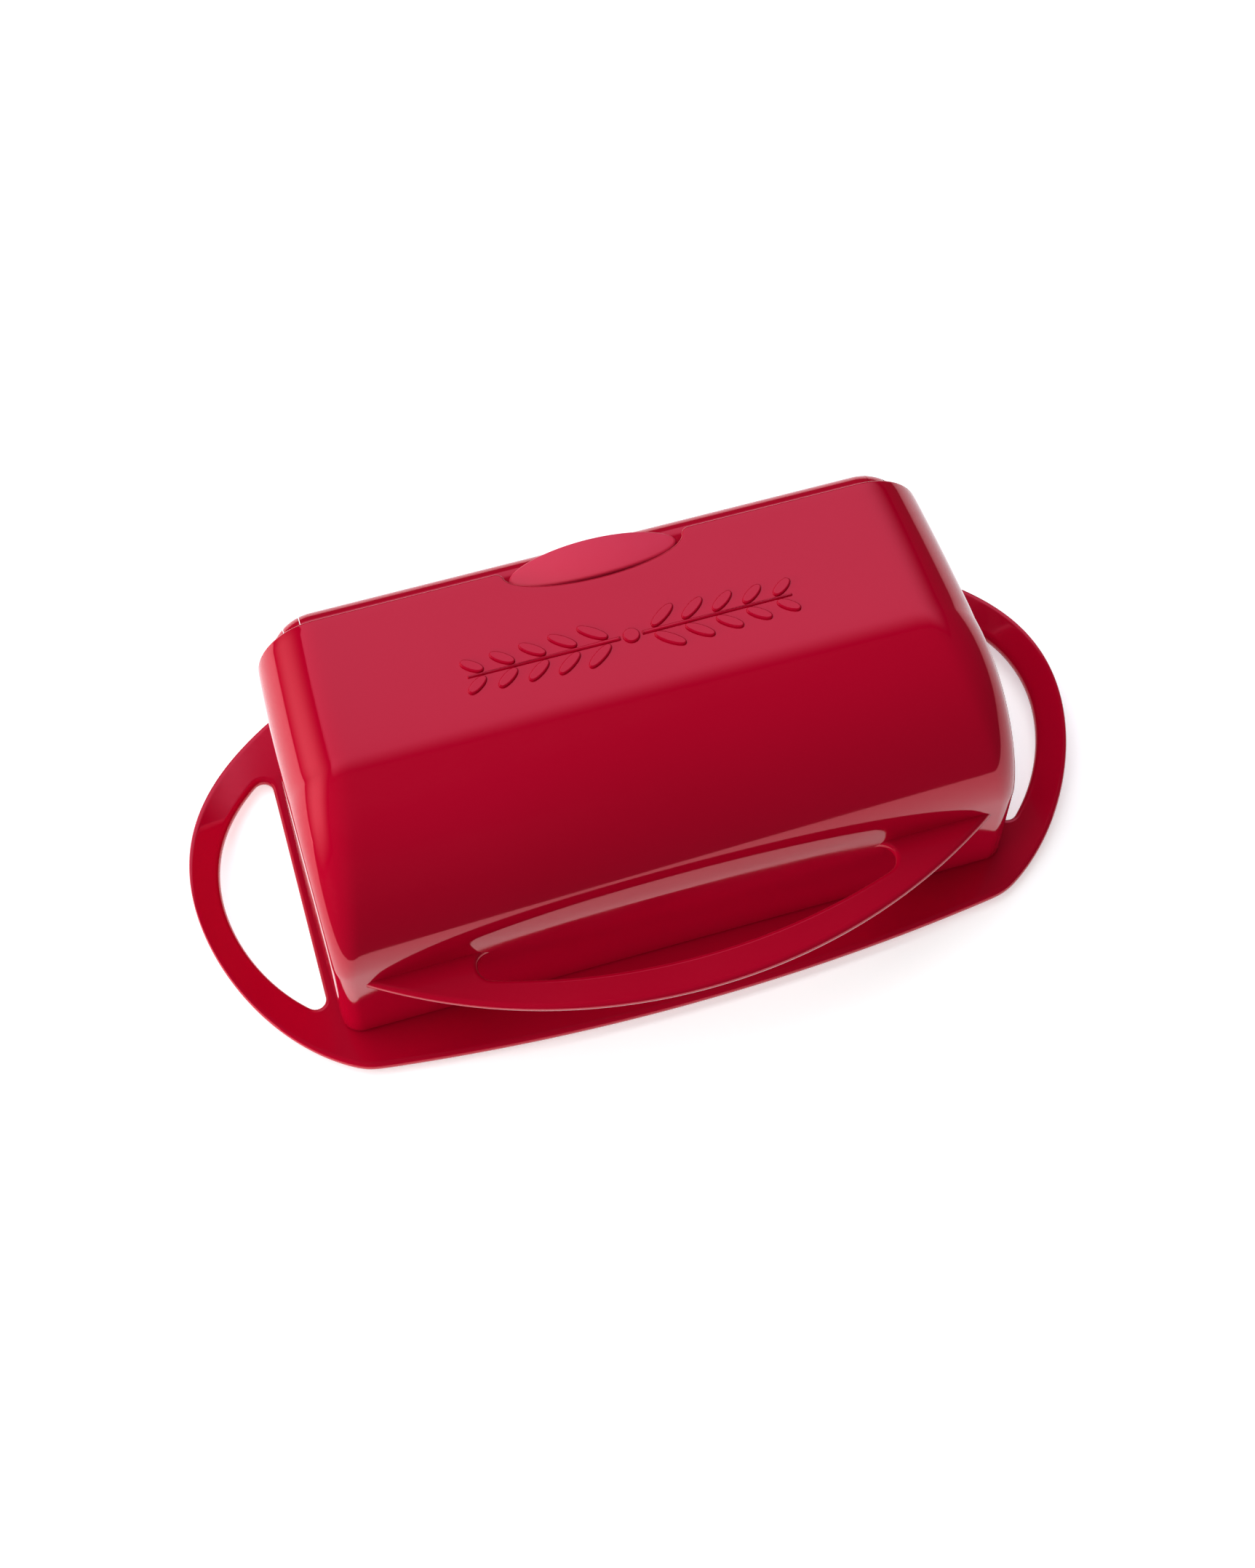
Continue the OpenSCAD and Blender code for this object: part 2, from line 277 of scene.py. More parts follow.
def inside(points, outline):
    x, y = points[:, :1], points[:, 1:]
    a, b = outline, np.roll(outline, -1, axis=0)
    crosses = (a[:, 1] > y) != (b[:, 1] > y)
    rise = np.where(b[:, 1] == a[:, 1], 1e-9, b[:, 1] - a[:, 1])
    left = x < (b[:, 0] - a[:, 0]) * (y - a[:, 1]) / rise + a[:, 0]
    return (crosses & left).sum(axis=1) % 2 == 1


def bulge(steps, power=2.4):
    """Half of a rounded edge: pairs from (1, 0) on one face, over (0, 1), to (-1, 0) on the other."""
    turn = np.linspace(0, math.pi, steps + 1)
    across, out = np.cos(turn), np.sin(turn)
    return np.c_[np.sign(across) * np.abs(across) ** (2 / power), np.abs(out) ** (2 / power)]


def plate(shape, outlines, top, bottom, edge, spacing, steps=8):
    """A slab between two height functions with rounded edges. The first outline is the outer one."""
    loops = []
    for k, outline in enumerate(outlines):
        out = outward(outline) * (1 if k == 0 else -1)
        rounded = []
        for across, reach in bulge(steps):
            flat = outline - out * edge * (1 - reach)
            high, low = top(flat), bottom(flat)
            rounded.append(np.c_[flat, (high + low) / 2 + (high - low) / 2 * across])
        flat = outline - out * edge * 1.25
        rounded = [np.c_[flat, top(flat)], *rounded, np.c_[flat, bottom(flat)]]
        shape.quads([shape.add(row) for row in rounded], closed=True)
        loops.append(flat)
    low, high = loops[0].min(axis=0), loops[0].max(axis=0)
    gx, gy = np.meshgrid(np.arange(low[0], high[0], spacing), np.arange(low[1], high[1], spacing))
    inner = np.c_[gx.ravel(), gy.ravel()]
    keep = inside(inner, loops[0])
    for loop in loops[1:]:
        keep &= ~inside(inner, loop)
    every = np.vstack(loops)
    near = np.array([np.hypot(*(every - p).T).min() > 0.6 * spacing for p in inner])
    inner = inner[keep & near]
    flat = np.vstack([every, inner])
    edges, first = [], 0
    for loop in loops:
        ring = first + np.arange(len(loop))
        edges += np.c_[ring, np.roll(ring, -1)].tolist()
        first += len(loop)
    points, _, faces, *_ = delaunay_2d_cdt([Vector(p) for p in flat], edges, [], 0, 1e-6)
    points = np.array([p[:] for p in points])
    middle = np.array([points[f].mean(axis=0) for f in faces])
    keep = inside(middle, loops[0])
    for loop in loops[1:]:
        keep &= ~inside(middle, loop)
    faces = [f for f, k in zip(faces, keep) if k]
    shape.join(np.c_[points, top(points)], faces)
    shape.join(np.c_[points, bottom(points)], [f[::-1] for f in faces])


def level(height):
    """A flat face for plate()."""
    return lambda points: np.full(len(points), height)


def place(thing, body, node, material_slot):
    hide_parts(node)
    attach(thing, body)


# --- tray -------------------------------------------------------------------------

loop_r = 58.5
loop_band = 7.0
hole_r = 43.3
hole_x = tray_half - loop_band - hole_r
hole_start = 89.7
outline_step = 0.6


def arc_radius(half_chord, height):
    return (half_chord ** 2 + height ** 2) / (2 * height)


# The loops curve up by loop_lift over their last loop_run
loop_run, loop_lift = 28.0, 10.0
rise_x = tray_half - loop_run
rise_r = arc_radius(loop_run, loop_lift)


def reach_circle(ray, centre, radius):
    """How far rays from the middle go before they leave a circle."""
    along = ray @ centre
    return along + np.sqrt(np.maximum(along ** 2 - centre @ centre + radius ** 2, 0))


def tray_outline():
    """Bowed long edges, and a circle round each finger loop."""
    bow_r = arc_radius(85.5, 6.2)
    bow_y = bow_r - (tray_high[1] - tray_low[1]) / 2
    turn = np.linspace(0, 2 * math.pi, 2880, endpoint=False)
    ray = np.c_[np.cos(turn), np.sin(turn)]
    loop_x = tray_half - loop_r
    bows = np.minimum(*(reach_circle(ray, np.array([0, y]), bow_r) for y in (bow_y, -bow_y)))
    right, left = (reach_circle(ray, np.array([x, 0.0]), loop_r) for x in (loop_x, -loop_x))
    ends = np.where(ray[:, 0] > 0, right, left)
    ends = np.where(np.abs(ray[:, 0] * bows) < loop_x, bows, ends)
    points = ray * np.minimum(ends, bows)[:, None]
    return soften(even(points, outline_step), 2.4) + [0, middle_y]


def hole_outline():
    """The opening of the right finger loop: a circle cut off by a straight inner edge."""
    fillet = 2.6
    fillet_x = hole_start + fillet
    turn = math.degrees(math.acos((fillet_x - hole_x) / (hole_r - fillet)))
    y = (hole_r - fillet) * math.sin(math.radians(turn))
    points = np.vstack([
        arc((hole_x, 0), hole_r, -turn, turn, 80),
        arc((fillet_x, y), fillet, turn, 180, 10)[1:],
        arc((fillet_x, -y), fillet, 180, 360 - turn, 10)[:-1],
    ])
    return even(points, outline_step) + [0, middle_y]


def rise(points, radius):
    """Height of a face of the tray, flat in the middle and curving up at the loops."""
    run = np.clip(np.abs(points[:, 0]) - rise_x, 0, None)
    return tray_bottom + rise_r - np.sqrt(radius ** 2 - run ** 2)


tray = Shape()
right_hole = hole_outline()
left_hole = (right_hole * [-1, 1])[::-1]
plate(tray, [tray_outline(), right_hole, left_hole],
      lambda p: rise(p, rise_r - tray_thick), lambda p: rise(p, rise_r), 1.3, 3.0)


def rounded_rectangle(x0, x1, y0, y1, radius):
    return even(np.vstack([
        arc((x1 - radius, y1 - radius), radius, 0, 90, 12),
        arc((x0 + radius, y1 - radius), radius, 90, 180, 12),
        arc((x0 + radius, y0 + radius), radius, 180, 270, 12),
        arc((x1 - radius, y0 + radius), radius, 270, 360, 12),
    ]), 1.0)


# The low step that the butter sits on, with a flared foot
step_half, step_high, flare_r, sunk = 76.6, 2.4, 1.0, 0.02
step_outline = rounded_rectangle(-step_half, step_half, front_y + 7.2, wall_high[1] - 7.4, 6)
plate(tray, [step_outline], level(tray_top + step_high), level(tray_top - 1.2), 0.9, 8.0)
flare = []
for turn in np.linspace(0, math.pi / 2, 5):
    out = flare_r * (1 - math.sin(turn)) - sunk
    flare.append(np.c_[step_outline + outward(step_outline) * out,
                       np.full(len(step_outline), tray_top - sunk + flare_r * (1 - math.cos(turn)))])
tray.quads([tray.add(row) for row in flare], closed=True)
place(tray.make("tray", crimson), "base", "base_tray", "dish_plastic")


# --- lid --------------------------------------------------------------------------

TOP_ROWS, CROWN_ROWS, FRONT_ROWS, FILLET, PATCH = 16, 60, 16, 14, 24
RIM_COLUMNS = 18
edge_trim = 0.7                         # left free along the open edge for its rounding


def half_width(y, z):
    """Half width of the lid, whose ends are drafted and bow out a little in plan."""
    return 87.7 - (z - foot_z) * draft - 0.91 * ((y - 0.5) / 40) ** 2


def profile(inset):
    """Side view from the rear rim to the front foot: points, normals and how far round the crown."""
    radius = crown_r - inset
    start = np.array([crown_y + radius * math.sin(slope), crown_z + radius * math.cos(slope)])
    up = np.array([math.sin(slope), math.cos(slope)])
    rear = rim_y - edge_trim
    rear_z = start[1] - (rear - start[0]) * math.tan(slope)
    share = np.linspace(0, 1, TOP_ROWS, endpoint=False)[:, None]
    top = np.array([rear, rear_z]) * (1 - share) + start * share
    turn = np.linspace(math.pi / 2 - slope, math.pi, CROWN_ROWS + 1)
    normal = np.c_[np.cos(turn), np.sin(turn)]
    crown = np.array([crown_y, crown_z]) + radius * normal
    drop = np.linspace(crown_z, foot_z + edge_trim, FRONT_ROWS + 1)[1:]
    front = np.c_[np.full(FRONT_ROWS, front_y + inset), drop]
    points = np.vstack([top, crown, front])
    normals = np.vstack([np.tile(up, (TOP_ROWS, 1)), normal, np.tile([-1.0, 0.0], (FRONT_ROWS, 1))])
    round_the_crown = np.r_[np.zeros(TOP_ROWS), np.linspace(0, 1, CROWN_ROWS + 1), np.ones(FRONT_ROWS)]
    return points, normals, round_the_crown


notch_gap = 1.1
notch_x = pad_half + notch_gap
notch_y = pad_wide + notch_gap
notch_corner = rim_y - pad_y + 0.6


def rear_edge():
    """Rear edge of the lid's flat top in plan, from the middle to one side: x, y and the way out."""
    turn = np.radians(np.linspace(0, 90, 25))
    x = (notch_x + edge_trim) * np.sin(turn)
    y = pad_y - (notch_y + edge_trim) * np.cos(turn)
    way = np.c_[-np.sin(turn) / notch_x, np.cos(turn) / notch_y]
    corner = np.radians(np.linspace(0, 90, 9))[1:]
    radius = notch_corner - edge_trim
    centre_x = notch_x + notch_corner
    centre_y = rim_y - notch_corner
    x2 = centre_x - radius * np.cos(corner)
    y2 = centre_y + radius * np.sin(corner)
    way2 = np.c_[-np.cos(corner), np.sin(corner)]
    return np.r_[x, x2], np.r_[y, y2], np.vstack([way, way2])


def lid_surface(inset):
    """Points of the lid's outer or inner surface: the main grid and the two side patches."""
    points, normals, share = profile(inset)
    rows = len(points)
    radius = shoulder_r + (corner_r - shoulder_r) * share - inset
    limit = half_width(points[:, 0], points[:, 1]) - inset - radius
    edge_x, edge_y, _ = rear_edge()
    out = np.linspace(0, 1, RIM_COLUMNS + 1)[1:]
    edge_x = np.r_[edge_x, edge_x[-1] + (limit[0] - edge_x[-1]) * out]
    edge_y = np.r_[edge_y, np.full(RIM_COLUMNS, rim_y - edge_trim)]
    columns = np.r_[-edge_x[:0:-1], edge_x] / edge_x[-1]
    rear = np.r_[edge_y[:0:-1], edge_y]
    flat = np.zeros((rows, len(columns), 3))
    flat[:, :, 0] = columns * limit[:, None]
    flat[:, :, 1] = points[:, :1]
    flat[:, :, 2] = points[:, 1:]
    begin, stop = points[0, 0], points[TOP_ROWS, 0]
    for i in range(TOP_ROWS):
        y = rear + (points[i, 0] - begin) * (stop - rear) / (stop - begin)
        flat[i, :, 1] = y
        flat[i, :, 2] = points[TOP_ROWS, 1] - (y - stop) * math.tan(slope)
    turn = np.linspace(0, math.pi / 2, FILLET + 1)[1:]
    side = np.zeros((rows, FILLET, 3))
    for j, t in enumerate(turn):
        y = points[:, 0] - normals[:, 0] * radius * (1 - math.cos(t))
        z = points[:, 1] - normals[:, 1] * radius * (1 - math.cos(t))
        y = np.minimum(y, rim_y - edge_trim)
        z = np.maximum(z, foot_z + edge_trim)
        side[:, j] = np.c_[half_width(y, z) - inset - radius * (1 - math.sin(t)), y, z]
    main = np.concatenate([side[:, ::-1] * [-1, 1, 1], flat, side], axis=1)
    brim = side[:, -1]
    run = np.r_[0, np.cumsum(np.hypot(*np.diff(brim[:, 1:], axis=0).T))]
    foot_y = brim[0, 1] + (brim[-1, 1] - brim[0, 1]) * run / run[-1]
    steps = np.linspace(0, 1, PATCH + 1)[1:]
    patch = np.zeros((rows, len(steps), 3))
    for k, s in enumerate(steps):
        y = brim[:, 1] * (1 - s) + foot_y * s
        z = brim[:, 2] * (1 - s) + (foot_z + edge_trim) * s
        patch[:, k] = np.c_[half_width(y, z) - inset, y, z]
    return main, patch


def rim_loop(main, patch):
    """Numbers of the points round the open edge of a surface, anticlockwise from the rear right."""
    rear = main[0]
    right, left = patch
    return np.r_[rear, right[0, :], right[1:-1, -1], main[-1][::-1], left[1:-1, -1][::-1], left[0, ::-1]]


def rim_ways(main, patch):
    """Unit vectors out of the open edge, in the same order as rim_loop."""
    _, _, way = rear_edge()
    way = way / np.hypot(*way.T)[:, None]
    half = np.vstack([way, np.tile([0.0, 1.0], (RIM_COLUMNS, 1))])
    flat = np.vstack([half[:0:-1] * [-1, 1], half])
    flat = np.c_[flat, np.zeros(len(flat))]
    back, down = np.array([0.0, 1.0, 0.0]), np.array([0.0, 0.0, -1.0])
    fillet = np.tile(back, (FILLET, 1))
    rows, steps = patch.shape[:2]
    side = np.vstack([np.tile(back, (steps - 1, 1)), back + down])
    foot = np.tile(down, (rows - 2, 1))
    front = np.tile(down, (main.shape[1], 1))
    return np.vstack([fillet, flat, fillet, side, foot, front, foot, side[::-1]])


lid = Shape()
loops = []
for inset in (0.0, wall):
    main, patch = lid_surface(inset)
    ids = lid.add(main).reshape(main.shape[:2])
    lid.quads(ids)
    side_ids = []
    for sign, column in ((1, -1), (-1, 0)):
        grid = lid.add(patch * [sign, 1, 1]).reshape(patch.shape[:2])
        lid.quads(np.concatenate([ids[:, [column]], grid], axis=1))
        side_ids.append(grid)
    loops.append(rim_loop(ids, side_ids))
ways = rim_ways(main, patch)
everything = np.concatenate(lid.points)
outer, inner = everything[loops[0]], everything[loops[1]]
ring = [loops[0]]
for across, out in bulge(8)[1:-1]:
    ring.append(lid.add((outer + inner) / 2 + (outer - inner) / 2 * across + ways * edge_trim * out))
ring.append(loops[1])
lid.quads(ring, closed=True)


# The crescent, as a bar of changing width between an outer arc and the finger gap
crescent_half, crescent_out, band = 79.0, 23.7, 8.4
outer_r = arc_radius(crescent_half, crescent_out)
gap_end = 3.8
gap_deep = crescent_out - band
gap_x = 52.5 - gap_end
gap_r = (gap_x ** 2 / (gap_deep - 2 * gap_end) + gap_deep) / 2
crescent_high, crescent_thick = tray_top + 29.7, 3.0
root = 1.2                              # how far the bar runs into the front wall
gap_centre = np.array([0, gap_r - gap_deep])
meet = math.degrees(math.atan2(gap_centre[1] + gap_end, gap_x))
inner_arc = arc(gap_centre, gap_r, 270, 360 - meet, 60)
inner_end = arc((gap_x, -gap_end), gap_end, 360 - meet, 450, 18)[1:]
inner_half = np.vstack([inner_arc, inner_end, [[gap_x, root]]])
inner_ways = np.vstack([
    (gap_centre - inner_arc) / gap_r,
    (np.array([gap_x, -gap_end]) - inner_end) / gap_end,
    [[0.0, -1.0]],
])
outer_centre = np.array([0, outer_r - crescent_out])
last = math.degrees(math.asin((crescent_half + 1.6) / outer_r))
share = np.r_[np.linspace(0, 0.63, 61), np.linspace(0.63, 0.965, len(inner_end) + 1)[1:], 1]
outer_turn = np.radians(270 + last * share)
outer_ways = np.c_[np.cos(outer_turn), np.sin(outer_turn)]
outer_half = outer_centre + outer_r * outer_ways
edge_out = np.r_[np.full(len(share) - 1, 1.3), 0.4]
edge_in = np.r_[np.full(len(share) - 1, 1.1), 0.4]
count = len(share)
between = np.array([0.04, 0.3, 0.7, 0.96])[:, None]
bar_edge = bulge(10, 2.2)
rows = []
for i in range(count):
    rim_out, rim_in = outer_ways[i] * edge_out[i], inner_ways[i] * edge_in[i]
    far, near = outer_half[i] - rim_out, inner_half[i] - rim_in
    section = [(*(outer_half[i] - rim_out * (1 - out)), across) for across, out in bar_edge]
    section += [(*spot, -1) for spot in far * (1 - between) + near * between]
    section += [(*(inner_half[i] - rim_in * (1 - out)), across) for across, out in bar_edge[::-1]]
    section += [(*spot, 1) for spot in near * (1 - between) + far * between]
    rows.append(section)
rows = np.array(rows)
solid = np.zeros((count, rows.shape[1], 3))
solid[:, :, :2] = rows[:, :, :2] + [0, front_y]
solid[:, :, 2] = crescent_high - crescent_thick / 2 * (1 - rows[:, :, 2])
mirrored = solid[:0:-1] * [-1, 1, 1]
ids = lid.add(np.concatenate([mirrored, solid])).reshape(-1, rows.shape[1])
lid.quads(ids, closed=True)
lid.faces += [ids[0].tolist(), ids[-1][::-1].tolist()]


# Each hinge lug is a slab under the flat top, with an eye that carries on the barrel's own outline
lug_start, lug_stop = lug_x - lug_wide / 2, lug_x + lug_wide / 2
lug_outline = even(np.vstack([
    arc(hinge[1:], lug_r, 180, 375, 40),
    [[rim_y - 0.3, hinge[2] + 6.95]],
    [[rim_y - 10, hinge[2] + 7.6]],
]), 0.5)
for side in (-1, 1):
    slab = Shape()
    plate(slab, [lug_outline], level(lug_stop), level(lug_start), 0.4, 2.0)
    points = np.concatenate(slab.points)
    lid.join(np.c_[points[:, 2] * side, points[:, 0], points[:, 1]], slab.faces)

flat_half = half_width(rim_y, rim_z) - shoulder_r / math.cos(math.atan(draft)) + shoulder_r * draft
chamfer, ring_points = 0.15, 72
circle = np.linspace(0, 2 * math.pi, ring_points, endpoint=False)
stations = np.r_[lug_start, np.linspace(lug_start + chamfer, lug_stop - chamfer, 13), lug_stop]
for side in (-1, 1):
    rings = []
    for k, x in enumerate(stations):
        radius = barrel - end_r + math.sqrt(end_r ** 2 - (x - flat_half) ** 2)
        radius -= chamfer if k in (0, len(stations) - 1) else 0
        rings.append(lid.add(np.c_[np.full(ring_points, side * x), hinge[1] + radius * np.cos(circle),
                                   hinge[2] + radius * np.sin(circle)]))
    lid.quads(rings, closed=True)
    lid.faces += [rings[0].tolist(), rings[-1].tolist()]


# A generic raised sprig on the flat top

def panel_z(points):
    """Height of the flat top."""
    return rim_z + (rim_y - points[:, 1]) * math.tan(slope)


def leaf(x, y, length, width, turn):
    """Outline of a leaf round its middle, pointed at both ends."""
    sweep = np.linspace(0, math.pi, 40)
    half = width / 2 * np.sin(sweep) ** 0.8
    along = length / 2 * -np.cos(sweep)
    points = np.vstack([np.c_[along, -half], np.c_[along, half][::-1][1:-1]])
    c, s = math.cos(turn), math.sin(turn)
    points = points @ np.array([[c, s], [-s, c]])
    return soften(even(points, 0.35), 0.3) + [x, y]


def raised(outline, high=0.55):
    plate(lid, [outline], lambda p: panel_z(p) + high, lambda p: panel_z(p) - 0.6, 0.45, 1.6, 8)


sprig_x, sprig_y = 2.0, 13.5
leaf_pitch, leaf_width, leaf_turn = 7.4, 2.9, math.radians(38)
stem_end = 40.0
for side in (-1, 1):
    for k in range(5):
        for flip in (-1, 1):
            raised(leaf(sprig_x + side * (8.6 + leaf_pitch * k), sprig_y + flip * (3.5 - 0.18 * k),
                        8.2 - 0.5 * k, leaf_width, leaf_turn * flip * side))
    stem = np.linspace(2.6, stem_end, 60)
    thick = 0.62 - 0.25 * (stem / stem_end)
    line = np.vstack([np.c_[stem, -thick], np.c_[stem, thick][::-1]]) * [side, 1]
    line = line if side > 0 else line[::-1]
    raised(soften(even(line + [sprig_x, sprig_y], 0.3), 0.2), 0.4)
raised(arc((sprig_x, sprig_y), 2.1, 0, 354, 59))

place(lid.make("lid_shell", crimson), "lid", "lid", "dish_plastic")


# --- back wall --------------------------------------------------------------------

wall_thick = 2.4
ease_start = 0.6                        # the wall widens from this share of flat_half outwards
skin = 0.04                             # keeps the wall's solid just inside its outer face


def inner_half_width(z):
    """Half width inside the lid at its rear rim."""
    radius = shoulder_r - wall
    top = rim_z - wall
    drop = np.clip((top - z) / radius, 0, 1)
    return half_width(rim_y, z) - wall - radius * (1 - math.sqrt(1 - (1 - drop) ** 2))


def spread_at(z):
    """How far the wall's ends stand out at one height. None near the hinge, where the lid's rim passes."""
    return max(0.0, inner_half_width(min(z + 3.2, hinge[2])) - gap - half_top)


def widened(outline, spread_out):
    """An outline with its ends eased outwards."""
    start = flat_half * ease_start
    share = np.clip((np.abs(outline[:, 0]) - start) / (half_top - start), 0, 1)
    share = share * share * (3 - 2 * share)
    return outline + np.c_[np.sign(outline[:, 0]) * share * spread_out, np.zeros(len(outline))]


def d_outline(inset):
    """Half of the wall's plan behind the hinge line, from the middle to one end: x, and y from the hinge."""
    radius = end_r - inset
    slot_edges = np.degrees(np.arcsin((np.array([slot_low, slot_high]) - flat_half) / radius))
    last_turn = math.degrees(math.acos(min(1, (end_r - barrel) / radius)))
    turn = np.radians(np.sort(np.r_[np.linspace(0, last_turn, 25), slot_edges]))
    straight = np.linspace(0, flat_half, 21)[:-1]
    x = np.r_[straight, flat_half + radius * np.sin(turn)]
    y = np.r_[np.full(len(straight), barrel - inset), barrel - end_r + radius * np.cos(turn)]
    return np.c_[x, y]


def flat_row(outline, z):
    """Numbers of an outline's points, placed at one height."""
    return wall_shape.add(np.c_[outline + [0, rim_y], np.full(len(outline), z)])


wall_shape = Shape()
plan, plan_in = d_outline(0), d_outline(wall_thick)
both = np.vstack([plan[:0:-1] * [-1, 1], plan])
half_top = plan[-1, 0]
base_z = tray_top + 0.05

# Rear face up to the hinge line, then the barrel turned round that line. Both stop at the lug slots.
upper_rows = hinge[2] - slot_floor * np.linspace(1, 0, 6)
heights = np.r_[base_z, np.linspace(tray_top + 0.5, upper_rows[0], 36)[:-1], upper_rows]
outer_ids = np.array([flat_row(widened(both, spread_at(z)), z) for z in heights])
around = 72
barrel_ids = [outer_ids[-1]]
for t in np.radians(np.linspace(0, 360, around + 1))[1:-1]:
    turned = hinge[1:] + both[:, 1:] * [math.cos(t), math.sin(t)]
    barrel_ids.append(wall_shape.add(np.c_[both[:, 0], turned]))
barrel_ids = np.array([*barrel_ids, outer_ids[-1]])
floor_row = len(heights) - len(upper_rows)
columns = np.abs(both[:, 0])
for c in range(len(both) - 1):
    pair = slice(c, c + 2)
    if slot_low - 0.01 < columns[pair].min() and columns[pair].max() < slot_high + 0.01:
        wall_shape.quads(outer_ids[:floor_row + 1, pair])
    else:
        wall_shape.quads(outer_ids[:, pair])
        wall_shape.quads(barrel_ids[:, pair])
for x in (-slot_high, -slot_low, slot_low, slot_high):
    # The slot's side: the end of the barrel, and the corner between it and the rear face
    c = int(np.argmin(np.abs(both[:, 0] - x)))
    quarter = barrel_ids[-2:-2 - around // 4:-1, c]
    wall_shape.faces.append(barrel_ids[:-1, c].tolist())
    wall_shape.faces.append(outer_ids[floor_row:, c].tolist() + quarter.tolist())

# The wall's thickness, with two returns that reach into the lid
return_r, return_y = 1.0, -5.0
shell_ids = []
for z in np.linspace(base_z, hinge[2] - 9.0, 24):
    half = half_top + spread_at(z)
    inner = np.vstack([plan_in, [[plan_in[-1, 0], return_y]]])
    inner[:, 0] *= (half - 2 * return_r) / inner[-1, 0]
    front = arc((half - return_r, return_y), return_r, 180, 360, 8)
    ring_half = np.vstack([widened(plan, spread_at(z)) - [0, skin], front[::-1], inner[::-1]])
    shell_ids.append(flat_row(np.vstack([ring_half, (ring_half * [-1, 1])[::-1][1:-1]]), z))
wall_shape.quads(shell_ids, closed=True)
half_count = len(ring_half)
for row in (shell_ids[0], shell_ids[-1]):
    mirrored = np.r_[row[0], row[half_count:][::-1], row[half_count - 1]]
    wall_shape.faces += [row[:half_count].tolist(), mirrored[:half_count].tolist()]

# From there up to the floor of the slots, and under the barrel between the slots
band = np.vstack([both - [0, skin], plan_in[:0:-1], plan_in * [-1, 1]])
band_ids = [flat_row(band, hinge[2] + z) for z in (-9.2, -slot_floor - 0.05)]
web_in, web_out = barrel - wall_thick, barrel - 0.4
web = np.array([(web_out, -9.0), (web_out, -5.0), (web_in, -5.0), (web_in, -9.0)]) + hinge[1:]
web_ids = [wall_shape.add(np.c_[np.full(4, x), web]) for x in (-slot_low + 0.1, slot_low - 0.1)]
for ids in (band_ids, web_ids):
    wall_shape.quads(ids, closed=True)
    wall_shape.faces += [ids[0].tolist(), ids[-1].tolist()]
place(wall_shape.make("back_wall_shell", crimson), "base", "back_wall", "dish_plastic")


# --- thumb pad --------------------------------------------------------------------

pad = Shape()
turn = np.linspace(0, 2 * math.pi, 200, endpoint=False)
oval = even(np.c_[pad_half * np.cos(turn), pad_wide * np.sin(turn)], 0.5) + [0, pad_y]
plate(pad, [oval], lambda p: pad_high[2] - (p[:, 0] ** 2 + (p[:, 1] - pad_y) ** 2) / 260,
      level(pad_low[2]), 0.9, 1.5, 10)
place(pad.make("thumb_pad_oval", satin), "base", "thumb_pad", "pad_plastic")


# --- pins and feet ----------------------------------------------------------------

def lathe(shape, outline, centre, axis):
    """Turns an outline of radius and height round a line along Z or X."""
    rows = []
    for radius, along in outline:
        ring = arc((0, 0), radius, 0, 360, 64)[:-1]
        flat = np.c_[ring, np.full(len(ring), along)]
        rows.append(flat[:, [2, 0, 1]] if axis == "X" else flat)
    ids = [shape.add(row + centre) for row in rows]
    shape.quads(ids, closed=True)
    shape.faces += [ids[0].tolist(), ids[-1][::-1].tolist()]


for node in ("foot_front_left", "foot_front_right", "foot_rear_left", "foot_rear_right"):
    low, high = box_mm(node)
    centre = (low + high) / 2
    radius, half = (high[0] - low[0]) / 2, (high[2] - low[2]) / 2
    bend = arc((radius - 0.6, -half + 0.6), 0.6, -90, 0, 6)
    outline = np.vstack([[[radius - 2.2, -half + 0.35]], [[radius - 1.6, -half]], bend, [[radius, half]]])
    foot = Shape()
    lathe(foot, outline, centre, "Z")
    place(foot.make(node + "_disc", rubber, 50), "base", node, "foot_rubber")

for node in ("hinge_pin_left", "hinge_pin_right"):
    low, high = box_mm(node)
    centre = (low + high) / 2
    radius, half = (high[2] - low[2]) / 2, (high[0] - low[0]) / 2
    bend = arc((radius - 0.3, half - 0.3), 0.3, 0, 90, 5)
    pin = Shape()
    lathe(pin, np.vstack([bend[::-1], bend * [1, -1]]), centre, "X")
    place(pin.make(node + "_wire", steel, 50), "base", node, "pin_steel")


# --- stage ------------------------------------------------------------------------

camera_turn = math.radians(16.581)


def stand(thing, spot, target):
    """Puts a panel or a light at a spot, facing the target."""
    bpy.context.scene.collection.objects.link(thing)
    thing.location = spot
    thing.rotation_mode = "QUATERNION"
    thing.rotation_quaternion = (Vector(target) - Vector(spot)).to_track_quat("-Z", "Y")


